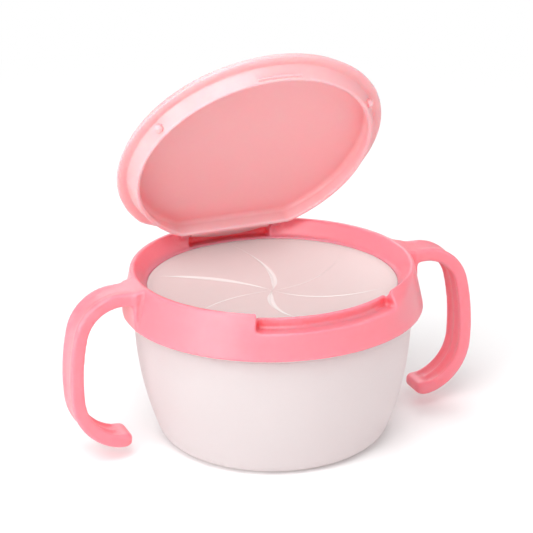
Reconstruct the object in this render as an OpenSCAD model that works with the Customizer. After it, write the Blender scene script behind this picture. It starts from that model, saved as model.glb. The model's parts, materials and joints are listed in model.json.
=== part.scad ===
// Toddler snack container: a bowl, a screw-on collar with two hook handles, a soft membrane
// with six flaps that a small hand pushes through, and a hinged lid that stands open.
// Millimetres. The origin is the centre of the bowl's base, +Z is up, the handles lie along X
// and the hinge is at +Y. Heights are worked out from the base upwards, radii from the bowl
// outwards.

/* [Bowl] */
// Height of the bowl from the base to the rim of its neck
bowl_h = 59.2; // [50:0.2:80]
// Outer radius of the bowl's wall just under the shoulder
bowl_r = 53; // [45:0.5:60]
// Radius of the arc that the wall follows from the shoulder down
wall_arc_r = 123; // [90:1:300]
// Radius of the round between the wall and the base
base_round_r = 8; // [3:0.5:14]
// Thickness of the bowl's wall and base
bowl_wall = 1.6; // [1:0.1:2.4]
// Height of the shoulder ring that the collar comes down to
shoulder_h = 2; // [1:0.1:4]
// How far the shoulder ring stands out from the wall
shoulder_out = 1; // [0.4:0.1:1.8]
// How far the neck is set in from the wall
neck_in = 2.6; // [2:0.1:3.2]

/* [Screw thread] */
// Rise of the thread in one full turn
thread_lead = 8; // [6:0.5:10]
// Number of thread starts
thread_starts = 2; // [1:1:2]
// Angle that each thread rib covers
thread_sweep = 155; // [90:5:175]
// How far a rib stands out from the bowl's neck
thread_out = 1.3; // [0.9:0.1:1.5]
// Height of a rib at its root
thread_rib_t = 1.5; // [1:0.1:1.8]
// Share of its root height that a rib keeps at its crest
thread_crest = 0.55; // [0.3:0.05:0.8]
// Gap under the bowl's ribs to the collar's ribs when the collar is screwed home
thread_gap = 0.3; // [0.2:0.05:0.5]
// Radial gap from the ribs of the bowl to the bore of the collar
thread_side_gap = 0.7; // [0.3:0.1:1]
// Radial gap from the ribs of the collar to the bowl's neck
thread_neck_gap = 0.6; // [0.3:0.1:0.8]
// Height of the collar's lowest rib above the collar's lower edge
thread_foot = 0.35; // [0.2:0.05:0.6]

/* [Collar] */
// Height of the collar
collar_h = 16.9; // [16.7:0.1:22]
// Thickness of the collar's threaded wall at its lower edge
collar_wall = 5.1; // [4.7:0.1:6.2]
// How much smaller the collar's outer radius is at its rim
collar_draft = 3.4; // [2.5:0.1:3.6]
// Gap from the bowl's shoulder ring to the collar's lower edge
shoulder_gap = 0.3; // [0.1:0.1:0.8]
// Width of the flat top of the rim
rim_w = 2.2; // [2:0.1:2.8]
// Radius of the round edges of the rim
rim_round_r = 0.8; // [0.3:0.1:0.9]
// Height of the solid plastic under the top of the rim
rim_solid_h = 2.7; // [2:0.1:3.4]
// Depth of the well in the collar from the rim to the ledge
well_depth = 6.4; // [6:0.1:6.6]
// How much narrower the well is at the ledge than at the rim
well_taper = 3.1; // [2.6:0.1:3.6]
// Thickness of the well's wall beside the ledge
well_wall = 1.6; // [1.2:0.1:2.2]
// Width of the ledge that holds the membrane down
ledge_w = 1.2; // [1:0.1:2.4]
// Thickness of the ledge
ledge_t = 1.5; // [1:0.1:2]
// Width of the groove from below between the outer wall and the well's wall
groove_w = 0.5; // [0.3:0.1:0.8]

/* [Front notch] */
// Angle of the notch that the thumb reaches the lid through
notch_angle = 62; // [40:1:80]
// Angle that the middle of the notch lies round from the front towards the right handle
notch_turn = 3; // [-6:1:6]
// How far the shelf in the notch lies below the ledge
shelf_drop = 0.3; // [0:0.1:0.8]
// Height that the low inner wall stands above the ledge in the notch
notch_wall_h = 3.7; // [2:0.1:5]
// Thickness of the low inner wall
notch_wall_t = 1.3; // [1:0.1:2]

/* [Hinge] */
// Distance of the hinge axis inside the outer edge of the rim
hinge_in = 7.9; // [7.4:0.1:8.4]
// Height of the hinge axis above the flat top of the rim
hinge_rise = -0.1; // [-0.3:0.1:0.1]
// How far the flat rear face of the well lies in front of the hinge axis
rear_face_in = 0.7; // [0.4:0.1:1.2]
// Width of the pocket in the collar that the lid's knuckle turns in
pocket_w = 34.4; // [24:0.2:40]
// Gap on each side of the knuckle in its pocket
knuckle_gap = 0.6; // [0.3:0.1:1]
// Radius of the round boss along the front of the knuckle
boss_r = 2.2; // [1.9:0.1:2.4]
// How far the stem of the knuckle ends in front of the hinge axis
stem_back = 1; // [0.6:0.1:1.4]
// Gap from the rear of the knuckle to the wall of its pocket
nose_gap = 0.3; // [0.2:0.1:0.8]
// Radius of the hinge pins
pin_r = 1.45; // [1:0.05:1.6]
// Length of each hinge pin
pin_l = 3.4; // [2:0.1:3.8]
// Radial clearance of a pin in its socket
pin_clear = 0.05; // [0.02:0.01:0.1]
// Outer radius of the ears round the sockets
ear_r = 2.6; // [2.4:0.1:2.8]
// Width of each ear
ear_w = 4.2; // [4:0.1:6]
// Room round the ears in the lid's rear edge
ear_room = 0.5; // [0.4:0.1:1]
// How far the lid's rear edge lies behind halfway from the plug to the hinge axis
edge_back = 0.3; // [0:0.1:0.4]
// Angle that the lid stands open from closed
lid_open = 55.8; // [0:0.1:100]

/* [Lid] */
// How far the lid's lower edge lies inside the outer edge of the rim
lid_in = 1.1; // [0.6:0.1:1.6]
// Angle that the two rear corners of the lid are cut off at
corner_cut = 28; // [0:1:30]
// Height of the lid's edge
lid_skirt_h = 3.4; // [3:0.1:5]
// How much smaller the lid is at its top edge
lid_draft = 1.2; // [0.6:0.1:2]
// Radius of the round along the lid's top edge
lid_round_r = 1.2; // [0.6:0.1:1.4]
// Height that the lid's top rises from its edge to its middle
lid_crown = 0.8; // [0.2:0.1:2]
// Thickness of the lid's top panel
lid_panel_t = 1.8; // [1.2:0.1:2.2]
// Gap from the closed lid to the rim of the collar
lid_gap = 0.2; // [0.1:0.05:0.5]
// Gap from the plug under the lid to the wall of the well at the rim
plug_gap = 2.9; // [2.5:0.1:3.6]
// How much narrower the plug is at its lip
plug_taper = 1.7; // [1.4:0.1:2.4]
// Depth of the plug below the lid's lower edge
plug_h = 5.8; // [4:0.1:6]
// Thickness of the plug's wall
plug_wall = 1.7; // [1.3:0.1:2.2]
// Gap from the flat rear of the plug to the flat rear face of the well
plug_rear_gap = 2.3; // [2:0.1:2.8]
// Radius of the inside round between the plug and the panel
plug_round_r = 2; // [0.8:0.1:2.4]
// Angle from the front to each of the two snap nubs
nub_angle = 60; // [40:1:75]
// Radius of a snap nub
nub_r = 1.9; // [1.4:0.1:2.1]
// Gap from the nubs to the wall of the well
nub_gap = 0.2; // [0.1:0.05:0.4]
// Width of the latch bead at the front of the plug
latch_w = 17; // [8:0.5:20]
// Radius of the latch bead
latch_r = 0.6; // [0.5:0.1:0.9]
// Height of the latch bead above the plug's lip
latch_up = 1.6; // [1:0.1:3]

/* [Handles] */
// Width of the handle strap
strap_w = 13; // [11:0.5:18]
// Thickness of the handle strap
strap_t = 5.3; // [4:0.1:6]
// Radius of the strap's long edges
strap_edge_r = 1.3; // [0.6:0.1:1.8]
// Depth of the hollow along the strap's outer face
outer_hollow = 0.55; // [0.2:0.05:0.9]
// Depth of the two grooves along the strap's inner face
groove_depth = 1.3; // [0.6:0.1:1.6]
// Width of the rail beside each groove
rail_w = 1.6; // [1.2:0.1:2.4]
// Width of the rib between the grooves
rib_w = 1; // [0.6:0.1:2]
// Width of each groove's sloping sides
groove_side = 0.7; // [0.3:0.1:0.9]
// Distance from the rim down to the middle of the strap at its root
root_drop = 4; // [3.9:0.1:5]
// Length of the straight stretch at the root
root_l = 3.9; // [3:0.1:12]
// Radius of the upper bend
upper_bend_r = 16.5; // [12:0.5:24]
// Angle that the upper bend turns through
upper_turn = 77; // [70:0.5:84]
// Radius of the long grip
grip_r = 85; // [60:1:200]
// Angle that the grip turns through
grip_turn = 17.5; // [8:0.5:24]
// Radius of the lower bend
lower_bend_r = 20; // [12:0.5:22]
// Angle that the lower bend turns through
lower_turn = 64.5; // [55:0.5:70]
// Radius of the last bend before the tip
tip_bend_r = 12; // [8:0.5:16]
// Angle that the last bend turns through
tip_turn = 22; // [10:0.5:26]
// Length of the rounded tip
tip_l = 3.4; // [2:0.1:5]
// How much wider than the strap the pad that carries it is
pad_more = 3; // [2.6:0.1:6]
// How far the pad stands out from the collar
pad_out = 0.4; // [0.2:0.1:2]
// Height of the slope under the pad
pad_slope_h = 7; // [4:0.1:7.4]
// Radius of the pad's upright edges
pad_round_r = 1.3; // [0.6:0.1:1.3]
// How far the pad's top lies below the rim where it meets the collar
pad_top_drop = 0.5; // [0.3:0.1:0.8]
// How far the strap stands above the pad's face
pad_top_gap = 0.15; // [0.1:0.05:0.4]

/* [Membrane] */
// Thickness of the membrane
membrane_t = 1; // [0.6:0.1:1.6]
// Thickness of the bead that is clamped between the bowl and the ledge
bead_t = 1.4; // [1:0.1:2]
// Height of the step that centres the membrane in the ledge
step_h = 0.7; // [0.3:0.1:1.2]
// Gap between the step and the ledge
step_gap = 0.3; // [0.2:0.05:0.6]
// Width of the flat border between the step and the dish
border_w = 1.7; // [1:0.1:3]
// Depth of the dish in the middle of the membrane
dish_depth = 4; // [1:0.1:6]
// Distance of the slits' outer ends inside the dish
slit_in = 1; // [0.5:0.1:4]
// Width of the slits
slit_w = 0.9; // [0.6:0.1:1.4]
// Angle that each slit swings through from its end to the middle
slit_swing = 33; // [0:1:40]
// Direction of the outer end of the first slit
slit_start = 30; // [0:1:59]
// Radius of the opening that the slits leave in the middle
middle_r = 1.4; // [1:0.1:3]
// Gap along the line that each flap bends at
bend_gap = 0.9; // [0.8:0.05:1.2]

/* [Hidden] */
$fn = 96;
PINK = "#fb9aa6";
FROST = "#ece4e4";
MILK = "#f0e1e1";

// How far a shape reaches into the one that it grows from, and past a face that it cuts
sink = 0.2;
past = 2;

// Heights. The neck reaches up to the bead under the ledge
neck_h = collar_h - well_depth - ledge_t - bead_t + shoulder_gap;
shoulder_z = bowl_h - neck_h;
collar_z = shoulder_z + shoulder_gap;
rim_z = collar_z + collar_h;
ledge_z = rim_z - well_depth;
ledge_under_z = ledge_z - ledge_t;
shelf_z = ledge_z - shelf_drop;
hinge_z = rim_z + hinge_rise;

// Radii of the bowl's neck and of the collar's bore
neck_r = bowl_r - neck_in;
neck_crest_r = neck_r + thread_out;
bore_r = neck_crest_r + thread_side_gap;
bore_crest_r = neck_r + thread_neck_gap;

// The collar's ribs start just above its lower edge, and the bowl's ribs lie above them
collar_thread_z = collar_z + thread_foot + thread_rib_t / 2;
thread_z = collar_thread_z + thread_rib_t + thread_gap;

// Radii of the collar
collar_r = bore_r + collar_wall;
rim_r = collar_r - collar_draft;
well_r = rim_r - rim_w;
well_foot_r = well_r - well_taper;
well_slope = atan(well_taper / well_depth);
ledge_r = well_foot_r - ledge_w;

// Places of the hinge behind the middle of the bowl
hinge_y = rim_r - hinge_in;
rear_face_y = hinge_y - rear_face_in;
plug_flat_y = rear_face_y - plug_rear_gap;
knuckle_w = pocket_w - 2 * knuckle_gap;

// Heights and radii of the closed lid
lid_r = rim_r - lid_in;
lid_top_r = lid_r - lid_draft;
lid_z = rim_z + lid_gap;
lid_top_z = lid_z + lid_skirt_h;
plug_r = well_r - plug_gap;
plug_lip_r = plug_r - plug_taper;
plug_z = lid_z - plug_h;

// The dish of the membrane, and the hexagon of lines that its six flaps bend along
step_r = ledge_r - step_gap;
step_z = bowl_h + bead_t + step_h;
dish_r = step_r - border_w;
slit_end_r = dish_r - slit_in;
flap_count = 6;
flap_step = 360 / flap_count;
bend_r = slit_end_r * cos(flap_step / 2);

// The same list from its end to its start
function reversed(list) = [for (i = [len(list) - 1:-1:0]) list[i]];

// Points of an arc in a plane, from angle a to angle b
function arc(c, r, a, b, n = 12) =
    [for (i = [0:n]) c + r * [cos(a + (b - a) * i / n), sin(a + (b - a) * i / n)]];

// Outline of the bowl's wall from the base up, moved inwards by d
wall_c = [bowl_r - wall_arc_r, shoulder_z - shoulder_h];
wall_end = asin((wall_c[1] - base_round_r) / (wall_arc_r - base_round_r));
base_c = wall_c + (wall_arc_r - base_round_r) * [cos(wall_end), -sin(wall_end)];
function wall_line(d) = concat(
    arc(base_c, base_round_r - d, -90, -wall_end, 8),
    arc(wall_c, wall_arc_r - d, -wall_end, 0, 12));

// One helical rib from root_r to crest_r. It fades in and out at its ends, and keeps end_share
// of its reach there
module rib(root_r, crest_r, z, turn) {
    n = 24;
    fade = 3;
    end_share = 0.15;
    function share(i) = end_share + (1 - end_share) * min(1, i / fade, (n - i) / fade);
    points = [for (i = [0:n])
        let (a = turn + thread_sweep * i / n,
             h = z + thread_lead * thread_sweep * i / n / 360,
             r = root_r + (crest_r - root_r) * share(i),
             t = thread_rib_t / 2)
        each [for (p = [[root_r, -t], [r, -t * thread_crest], [r, t * thread_crest], [root_r, t]])
            [p[0] * cos(a), p[0] * sin(a), h + p[1]]]];
    sides = [for (i = [0:n - 1], k = [0:3])
        let (a = 4 * i + k, b = 4 * i + (k + 1) % 4)
        each [[a, a + 4, b], [b, a + 4, b + 4]]];
    ends = [[0, 1, 2], [0, 2, 3], [4 * n + 2, 4 * n + 1, 4 * n], [4 * n + 3, 4 * n + 2, 4 * n]];
    faces = concat(sides, ends);
    polyhedron(points, crest_r > root_r ? [for (f = faces) reversed(f)] : faces);
}

// All the ribs of one thread, where z is the height of their starts
module thread(root_r, crest_r, z) {
    for (k = [0:thread_starts - 1])
        rib(root_r, crest_r, z, 360 * k / thread_starts);
}

module bowl() {
    out_r = bowl_r + shoulder_out;
    in_r = neck_r - bowl_wall;
    slope = shoulder_out * 0.6;
    color(FROST) {
        rotate_extrude()
            polygon(concat(
                [[0, 0]], wall_line(0),
                [[out_r, shoulder_z - shoulder_h + slope], [out_r, shoulder_z],
                 [neck_r, shoulder_z], [neck_r, bowl_h], [in_r, bowl_h],
                 [in_r, shoulder_z - bowl_wall / 2]],
                reversed(wall_line(bowl_wall)),
                [[0, bowl_wall]]));
        thread(neck_r - 2 * sink, neck_crest_r, thread_z);
    }
}

// Part of a ring between two radii and two heights, over an angle centred on the notch
module front_arc(r1, r2, z1, z2, angle) {
    rotate(notch_turn - 90 - angle / 2)
        rotate_extrude(angle = angle)
            translate([r1, z1]) square([r2 - r1, z2 - z1]);
}

// The collar turned all round: outer wall, rounded rim, well, ledge and threaded bore, with a
// groove from below that parts the outer wall from the well's wall
module collar_ring() {
    rr = rim_round_r;
    groove_z = rim_z - rim_solid_h;
    rotate_extrude()
        polygon(concat(
            [[collar_r, collar_z]],
            arc([rim_r - rr, rim_z - rr], rr, 0, 90, 5),
            arc([well_r + rr, rim_z - rr], rr, 90, 180, 5),
            [[well_foot_r, ledge_z], [ledge_r, ledge_z], [ledge_r, ledge_under_z],
             [well_foot_r + well_wall, ledge_under_z], [bore_r - groove_w, groove_z],
             [bore_r, groove_z], [bore_r, collar_z]]));
}

// The block at the rear that carries the hinge, with its flat face towards the well, and the
// two ears round the sockets. Its underside clears the step of the membrane
module hinge_block() {
    foot_z = step_z + step_gap;
    intersection() {
        translate([-collar_r, rear_face_y, foot_z])
            cube([2 * collar_r, collar_r, rim_z - foot_z]);
        cylinder(h = rim_z, r = bore_r + sink);
    }
    for (s = [-1, 1])
        translate([s * (pocket_w + ear_w) / 2, hinge_y, hinge_z])
            rotate([0, 90, 0]) cylinder(h = ear_w, r = ear_r, center = true);
}

// The pocket for the knuckle, open to the well and to the top, and the two sockets
module hinge_room() {
    intersection() {
        translate([-pocket_w / 2, rear_face_y - ear_r, ledge_z])
            cube([pocket_w, collar_r, well_depth + 2 * ear_r]);
        cylinder(h = rim_z + 2 * ear_r, r = bore_r);
    }
    for (s = [-1, 1])
        translate([s * (pocket_w + pin_l) / 2, hinge_y, hinge_z])
            rotate([0, 90, 0])
                cylinder(h = pin_l + 2 * sink, r = pin_r + pin_clear, center = true);
}

// The raised pad that a handle grows from, on the +X side
module pad() {
    face_drop = root_drop - strap_t / 2 - pad_top_gap;
    face_w = strap_w + pad_more - 2 * pad_round_r;
    intersection() {
        rotate([90, 0, 0])
            linear_extrude(height = strap_w + pad_more, center = true)
                polygon([[bore_r + 2 * sink, collar_z + sink], [collar_r - sink, collar_z + sink],
                         [pad_x, collar_z + pad_slope_h], [pad_x, rim_z - face_drop],
                         [rim_r, rim_z - pad_top_drop], [bore_r + 2 * sink, rim_z - pad_top_drop]]);
        union() {
            translate([0, -face_w / 2, 0]) cube([pad_x, face_w, rim_z]);
            translate([0, -strap_w / 2 - pad_more / 2, 0])
                cube([pad_x - pad_round_r, strap_w + pad_more, rim_z]);
            for (s = [-1, 1])
                translate([pad_x - pad_round_r, s * face_w / 2, 0])
                    cylinder(h = rim_z, r = pad_round_r);
        }
    }
}

module collar() {
    wall_r = well_foot_r - sink;
    cut_r = wall_r + notch_wall_t / 2;
    color(PINK) {
        difference() {
            union() {
                collar_ring();
                hinge_block();
                front_arc(well_foot_r, bore_r + 2 * sink, ledge_under_z, shelf_z,
                          notch_angle + 4);
                for (s = [0, 1]) mirror([s, 0, 0]) pad();
            }
            front_arc(cut_r, collar_r + past, shelf_z, rim_z + past, notch_angle);
            hinge_room();
        }
        front_arc(wall_r, wall_r + notch_wall_t, ledge_under_z, ledge_z + notch_wall_h,
                  notch_angle + 1);
        thread(bore_r + 2 * sink, bore_crest_r, collar_thread_z);
    }
}

// Outline of the strap's section in [across, outwards], at grow of its full size. hollow is
// how much of the hollow and the grooves it has, from 0 to 1
function strap_section(grow, hollow) =
    let (w = strap_w / 2, t = strap_t / 2, e = strap_edge_r, rail = w - rail_w,
         rib = rib_w / 2, d = outer_hollow * hollow, g = groove_depth * hollow,
         outer = [[rail * 0.75, t - d * 0.45], [rail * 0.4, t - d * 0.9]],
         inner = [[rail, -t], [rail - groove_side, g * 0.8 - t], [(rail + rib) / 2, g - t],
                  [rib + groove_side, g * 0.8 - t], [rib, g * 0.3 - t]])
    [for (p = concat(
        arc([w - e, t - e], e, 0, 90, 3), outer, [for (p = reversed(outer)) [-p[0], p[1]]],
        arc([e - w, t - e], e, 90, 180, 3), arc([e - w, e - t], e, 180, 270, 3),
        [for (p = inner) [-p[0], p[1]]], reversed(inner),
        arc([w - e, e - t], e, 270, 360, 3)))
     [p[0] * grow[0], p[1] * grow[1]]];

// The path's stretches from the root to the tip, each a length, a radius and a turn. The
// first and the last are straight
pad_x = collar_r + pad_out;
handle_path = [[root_l, 0, 0], [0, upper_bend_r, upper_turn], [0, grip_r, grip_turn],
               [0, lower_bend_r, lower_turn], [0, tip_bend_r, tip_turn], [tip_l, 0, 0]];

// Place [x, z, heading] after going a share f along one stretch from place p
function along(p, s, f) =
    s[1] == 0
    ? [p[0] + s[0] * f * cos(p[2]), p[1] + s[0] * f * sin(p[2]), p[2]]
    : let (h = p[2] - s[2] * f)
      [p[0] + s[1] * (sin(p[2]) - sin(h)), p[1] - s[1] * (cos(p[2]) - cos(h)), h];

// Place at the end of the first k stretches
function path_end(k) =
    k == 0 ? [pad_x, rim_z - root_drop, 0] : along(path_end(k - 1), handle_path[k - 1], 1);

// Rings along the path, each a place, how much it has grown and how hollow it is. The root
// and the last bend are hollowed little by little, and the tip closes in a round
path_steps = [3, 12, 9, 11, 4];
tip_steps = 6;
tip_end = [0.62, 0.3];
handle_rings = concat(
    [for (k = [0:4], i = [0:path_steps[k] - 1])
        [along(path_end(k), handle_path[k], i / path_steps[k]), [1, 1],
         k == 0 ? i / path_steps[0] : k == 4 ? 1 - i / path_steps[4] : 1]],
    [for (i = [0:tip_steps])
        let (a = 90 * i / tip_steps)
        [along(path_end(5), handle_path[5], sin(a)),
         tip_end + ([1, 1] - tip_end) * cos(a), 0]]);

module handle() {
    sections = [for (r = handle_rings)
        [for (p = strap_section(r[1], r[2]))
            [r[0][0] - p[1] * sin(r[0][2]), p[0], r[0][1] + p[1] * cos(r[0][2])]]];
    m = len(sections[0]);
    n = len(sections);
    polyhedron(
        [for (s = sections) each s],
        concat([[for (i = [0:m - 1]) i]],
               [for (k = [0:n - 2], i = [0:m - 1])
                   let (a = k * m + i, b = k * m + (i + 1) % m)
                   each [[a, a + m, b], [b, a + m, b + m]]],
               [[for (i = [m - 1:-1:0]) (n - 1) * m + i]]));
}

module right_handle() {
    color(PINK) handle();
}

module left_handle() {
    color(PINK) mirror([1, 0, 0]) handle();
}

// Points on the underside of the panel and on its top, which share the same crown
function crown(z, r, n = 8) = [for (i = [0:n]) [r * i / n, z + lid_crown * (1 - pow(i / n, 2))]];

// The lid turned all round: crowned panel, edge and plug
module lid_turned() {
    under_z = lid_top_z - lid_panel_t;
    lip_r = plug_wall / 2;
    foot = lid_skirt_h / 6;
    in_r = plug_r - plug_wall - plug_round_r;
    rotate_extrude()
        polygon(concat(
            crown(lid_top_z, lid_top_r - lid_round_r),
            arc([lid_top_r - lid_round_r, lid_top_z - lid_round_r], lid_round_r, 90, 20, 4),
            [[lid_r, lid_z + foot], [lid_r - foot / 2, lid_z], [plug_r, lid_z]],
            arc([plug_lip_r - lip_r, plug_z + lip_r], lip_r, 0, -180, 6),
            arc([in_r, under_z - plug_round_r], plug_round_r, 0, 90, 5),
            reversed(crown(under_z, in_r))));
}

// The straight wall that closes the rear of the plug
module plug_rear() {
    half = sqrt(pow(plug_r, 2) - pow(plug_flat_y, 2));
    intersection() {
        translate([-half, plug_flat_y - plug_wall, plug_z])
            cube([2 * half, plug_wall, plug_h + lid_skirt_h - lid_panel_t / 2]);
        cylinder(h = lid_top_z, r = plug_lip_r);
    }
}

// The knuckle at the rear of the lid: a boss along the hinge axis, a stem to the lid's edge,
// and a barrel behind the axis, which clears the pocket's curved wall at every angle
module knuckle() {
    reach = bore_r - nose_gap;
    half = asin(knuckle_w / 2 / reach);
    stem = hinge_y - plug_flat_y + past / 2;
    translate([0, hinge_y, hinge_z]) {
        rotate([90, 0, 90])
            linear_extrude(height = knuckle_w, center = true)
                union() {
                    circle(r = boss_r);
                    translate([-stem, lid_z - hinge_z]) square([stem - stem_back, lid_skirt_h]);
                }
        intersection() {
            rotate([0, 90, 0])
                rotate_extrude()
                    polygon(concat([[0, -knuckle_w / 2]],
                                   arc([-hinge_y, 0], reach, -half, half),
                                   [[0, knuckle_w / 2]]));
            translate([-knuckle_w, -1.5 * stem_back, 0])
                cube([2 * knuckle_w, reach, lid_top_z - hinge_z]);
        }
    }
}

// Outline of what is cut from the lid behind the knuckle: its edge ends on a straight line,
// with room for the two ears and with its corners cut off
module rear_outline() {
    edge_y = (hinge_y + plug_flat_y) / 2 + edge_back;
    ear_y = hinge_y - ear_r - ear_room;
    in_x = knuckle_w / 2;
    out_x = pocket_w / 2 + ear_w + ear_room;
    side_y = edge_y - (lid_r - out_x) * tan(corner_cut);
    polygon([[-lid_r, side_y], [-out_x, edge_y], [-out_x, ear_y], [-in_x, ear_y],
             [-in_x, edge_y], [in_x, edge_y], [in_x, ear_y], [out_x, ear_y],
             [out_x, edge_y], [lid_r, side_y], [lid_r, lid_r], [-lid_r, lid_r]]);
}

// The lid in its closed place
module lid_closed() {
    nub_z = plug_z + plug_h / 2;
    nub_wall_r = well_foot_r + (nub_z - ledge_z) * tan(well_slope);
    nub_y = nub_wall_r - (nub_r + nub_gap) / cos(well_slope);
    difference() {
        lid_turned();
        translate([0, 0, lid_z - past / 2])
            linear_extrude(height = lid_top_z) rear_outline();
        translate([-lid_r, plug_flat_y, plug_z - past])
            cube([2 * lid_r, lid_r, plug_h + past]);
    }
    plug_rear();
    knuckle();
    for (s = [-1, 1])
        rotate(s * nub_angle)
            translate([0, -nub_y, nub_z]) sphere(r = nub_r);
    translate([0, latch_r / 2 - plug_lip_r, plug_z + latch_up])
        rotate([0, 90, 0]) cylinder(h = latch_w, r = latch_r, center = true);
    for (s = [-1, 1])
        translate([s * (knuckle_w + pin_l) / 2, hinge_y, hinge_z])
            rotate([0, 90, 0]) cylinder(h = pin_l + 2 * sink, r = pin_r, center = true);
}

module lid() {
    color(PINK)
        translate([0, hinge_y, hinge_z])
            rotate([-lid_open, 0, 0])
                translate([0, -hinge_y, -hinge_z]) lid_closed();
}

// Points along the top of the dish, from the middle outwards, lowered by d
function dish_line(d, n = 10) =
    [for (i = [0:n]) [dish_r * i / n, step_z - d - dish_depth * (1 - pow(i / n, 2))]];

// The whole membrane before it is slit
module membrane_blank() {
    bead_r = neck_r - sink;
    bead_z = bowl_h + bead_t;
    rotate_extrude()
        polygon(concat(
            dish_line(0),
            [[step_r, step_z], [step_r, bead_z], [bead_r, bead_z], [bead_r, bowl_h],
             [step_r - border_w / 3, bowl_h]],
            reversed(dish_line(membrane_t))));
}

// Points from the middle out along one side of a slit that ends at direction a. side is 1 or
// -1, and past the slit's end the line runs on, so that two lines bound a whole flap
function slit_side(a, side, n = 10) =
    [for (i = [0:n])
        let (r = middle_r + (slit_end_r + past - middle_r) * i / n,
             b = a - slit_swing * (1 - r / slit_end_r) + side * asin(slit_w / 2 / r))
        r * [cos(b), sin(b)]];

module membrane_ring() {
    color(MILK)
        difference() {
            membrane_blank();
            rotate(slit_start)
                cylinder(h = step_z + past, r = slit_end_r, $fn = flap_count);
            for (k = [0:flap_count - 1])
                rotate(slit_start + k * flap_step)
                    translate([slit_end_r, 0, 0]) cylinder(h = step_z + past, r = slit_w / 2);
        }
}

// One flap, between slit k and the next
module flap(k) {
    color(MILK)
        intersection() {
            membrane_blank();
            rotate(slit_start + k * flap_step)
                linear_extrude(height = step_z + past)
                    intersection() {
                        polygon(concat(slit_side(0, 1), reversed(slit_side(flap_step, -1))));
                        rotate(flap_step / 2)
                            translate([-slit_end_r, -slit_end_r])
                                square([slit_end_r + bend_r - bend_gap, 2 * slit_end_r]);
                    }
        }
}

bowl();
membrane_ring();
flap(0);  // flap_1
flap(1);  // flap_2
flap(2);  // flap_3
flap(3);  // flap_4
flap(4);  // flap_5
flap(5);  // flap_6
collar();
left_handle();
right_handle();
lid();
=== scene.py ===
"""Looks of a toddler snack container: frosted bowl, slit membrane, pink collar and lid.

The sizes here are in millimetres, as in the part's own drawing, and each finished mesh is
brought down to metres. The hinge, the flaps' bending lines and the angle that the lid stands
open are read from the frame.
"""

import json
import logging
import math
from dataclasses import dataclass, field
from enum import Enum
from typing import Callable, Sequence

import bpy
from mathutils import Matrix, Vector
from mathutils.bvhtree import BVHTree


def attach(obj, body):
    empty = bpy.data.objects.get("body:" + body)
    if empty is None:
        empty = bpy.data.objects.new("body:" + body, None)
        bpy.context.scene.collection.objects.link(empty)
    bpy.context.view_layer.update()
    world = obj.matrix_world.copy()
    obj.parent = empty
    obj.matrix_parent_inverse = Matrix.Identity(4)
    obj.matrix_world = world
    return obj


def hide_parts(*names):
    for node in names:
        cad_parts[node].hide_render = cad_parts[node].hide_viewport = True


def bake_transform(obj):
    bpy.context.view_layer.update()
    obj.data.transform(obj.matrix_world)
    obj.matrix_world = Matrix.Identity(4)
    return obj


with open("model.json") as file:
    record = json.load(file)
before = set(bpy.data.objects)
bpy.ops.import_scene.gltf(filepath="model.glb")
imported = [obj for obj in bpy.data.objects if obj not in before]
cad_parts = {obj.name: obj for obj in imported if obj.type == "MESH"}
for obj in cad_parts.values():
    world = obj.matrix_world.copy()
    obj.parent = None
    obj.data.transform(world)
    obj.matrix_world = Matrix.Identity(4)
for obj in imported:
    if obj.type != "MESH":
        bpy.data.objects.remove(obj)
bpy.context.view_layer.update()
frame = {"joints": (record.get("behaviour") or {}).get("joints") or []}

MM = 0.001
IMAGE_PX = 533
FULL_TURN = 2 * math.pi
MIRROR = Matrix.Scale(-1, 4, (1, 0, 0))
# Name of the attribute that carries the mask for painted shade in recesses
PAINTED_SHADE_ATTRIBUTE = "shelter"
NOISE_MIDDLE = 0.5
WHITE = (1.0, 1.0, 1.0, 1.0)
LOG = logging.getLogger("snack_container")

Point = tuple[float, float]
Pair = tuple[float, float]
Triple = tuple[float, float, float]
Place = Sequence[float]
Colour = tuple[int, int, int]


class Boolean(Enum):
    """What a tool does to the solid that it meets."""

    JOIN = "UNION"
    CUT = "DIFFERENCE"


class Side(Enum):
    """The two sides of the middle."""

    LEFT = -1
    RIGHT = 1


class Bank(Enum):
    """The two sides of a slit, where AFTER lies anticlockwise of it."""

    BEFORE = -1
    AFTER = 1


class Ray(Enum):
    """The kinds of light ray that a shader can tell apart."""

    CAMERA = "Is Camera Ray"
    GLOSSY = "Is Glossy Ray"
    TRANSMISSION = "Is Transmission Ray"


class Output(Enum):
    """The nodes that a tree can end in."""

    MATERIAL = "ShaderNodeOutputMaterial"
    WORLD = "ShaderNodeOutputWorld"


def arc(centre: Point, radius: float, start: float, end: float, steps: int) -> list[Point]:
    """Points of an arc in a plane.

    Args:
        centre: Its middle.
        radius: Its radius.
        start: Angle of its first point, in degrees.
        end: Angle of its last point, in degrees.
        steps: Number of its stretches.

    Returns:
        The points in order.
    """
    angles = [math.radians(start + (end - start) * i / steps) for i in range(steps + 1)]
    return [(centre[0] + radius * math.cos(a), centre[1] + radius * math.sin(a)) for a in angles]


def smoothstep(x: float) -> float:
    """An S-shaped rise from 0 at 0 to 1 at 1."""
    x = min(1.0, max(0.0, x))
    return x * x * (3 - 2 * x)


def soft_min(a: float, b: float, width: float) -> float:
    """The lesser of two values, with the corner between them rounded over a width."""
    mix = max(0.0, width - abs(a - b)) / width
    return min(a, b) - mix * mix * width / 4


def joint_of(name: str) -> dict:
    """The frame's joint of that name."""
    return next(joint for joint in frame["joints"] if joint["name"] == name)


def in_mm(place: Place) -> Vector:
    """A place in the frame, in millimetres."""
    return Vector(place) / MM


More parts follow.
